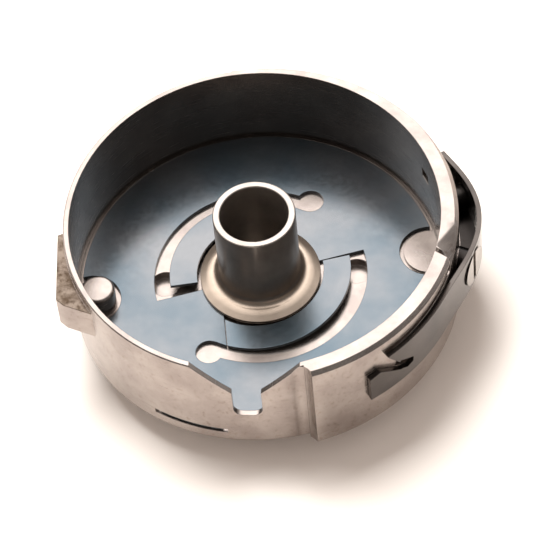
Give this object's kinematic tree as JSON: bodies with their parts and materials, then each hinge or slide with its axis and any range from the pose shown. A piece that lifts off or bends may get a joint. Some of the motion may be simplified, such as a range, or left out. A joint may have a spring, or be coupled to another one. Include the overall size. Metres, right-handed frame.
{
  "type": "bobbin case",
  "caption": "Round steel sewing-machine bobbin case: open cup with a centre tube, brake spring, thread tension leaf with screws, needle notch and a hinged latch under its floor.",
  "frame": {"origin": "on the axis of the centre tube, in the plane of the case's rim", "axes": "+Z along the tube's axis, out of the open side; -Y towards the needle notch"},
  "size_m": [0.0303, 0.0275, 0.0112],
  "materials": {
    "case_steel": "satin",
    "tube_steel": "polished",
    "blued_spring_steel": "blued, satin",
    "leaf_spring_steel": "dark, polished",
    "screw_steel": "polished",
    "latch_steel": "satin"
  },
  "bodies": {
    "case": {"case_body": "case_steel", "centre_tube": "tube_steel", "brake_spring_plate": "blued_spring_steel", "tension_spring": "leaf_spring_steel", "spring_fixing_screw": "screw_steel", "latch_coil_spring": "screw_steel"},
    "adjusting_screw": {"tension_screw": "screw_steel"},
    "brake_arm_front": {"brake_spring_arm_front": "blued_spring_steel"},
    "brake_arm_rear": {"brake_spring_arm_rear": "blued_spring_steel"},
    "slide": {"latch_slide": "latch_steel", "latch_pin": "screw_steel"},
    "lever": {"latch_lever": "latch_steel"}
  },
  "joints": [
    {"name": "latch_slide_travel", "type": "slide", "parent": "case", "child": "slide", "axis": [-0.9063, -0.4226, 0], "range_m": [0, 0.0012], "stiffness_N_per_m": 300, "deforming": ["latch_coil_spring"]},
    {"name": "latch_lever_swing", "type": "hinge", "parent": "slide", "child": "lever", "pos_m": [-0.00861, -0.00402, -0.0101], "axis": [-0.4226, 0.9063, 0], "range_deg": [0, 90]},
    {"name": "tension_screw_turn", "type": "hinge", "parent": "case", "child": "adjusting_screw", "pos_m": [0.01567, -0.00192, -0.0034], "axis": [0.9401, -0.341, 0], "range_deg": [-360, 360]},
    {"name": "brake_arm_front_flex", "type": "hinge", "parent": "case", "child": "brake_arm_front", "pos_m": [-0.00227, -0.00514, -0.00722], "axis": [-0.1352, 0.9908, 0], "range_deg": [0, 3.5], "stiffness_Nm_per_rad": 0.017},
    {"name": "brake_arm_rear_flex", "type": "hinge", "parent": "case", "child": "brake_arm_rear", "pos_m": [0.00227, 0.00514, -0.00722], "axis": [0.1352, -0.9908, 0], "range_deg": [0, 3.5], "stiffness_Nm_per_rad": 0.017}
  ],
  "couplings": [
    {"joint": "latch_lever_swing", "follows": "latch_slide_travel", "rad_per_m": 1236.3}
  ]
}
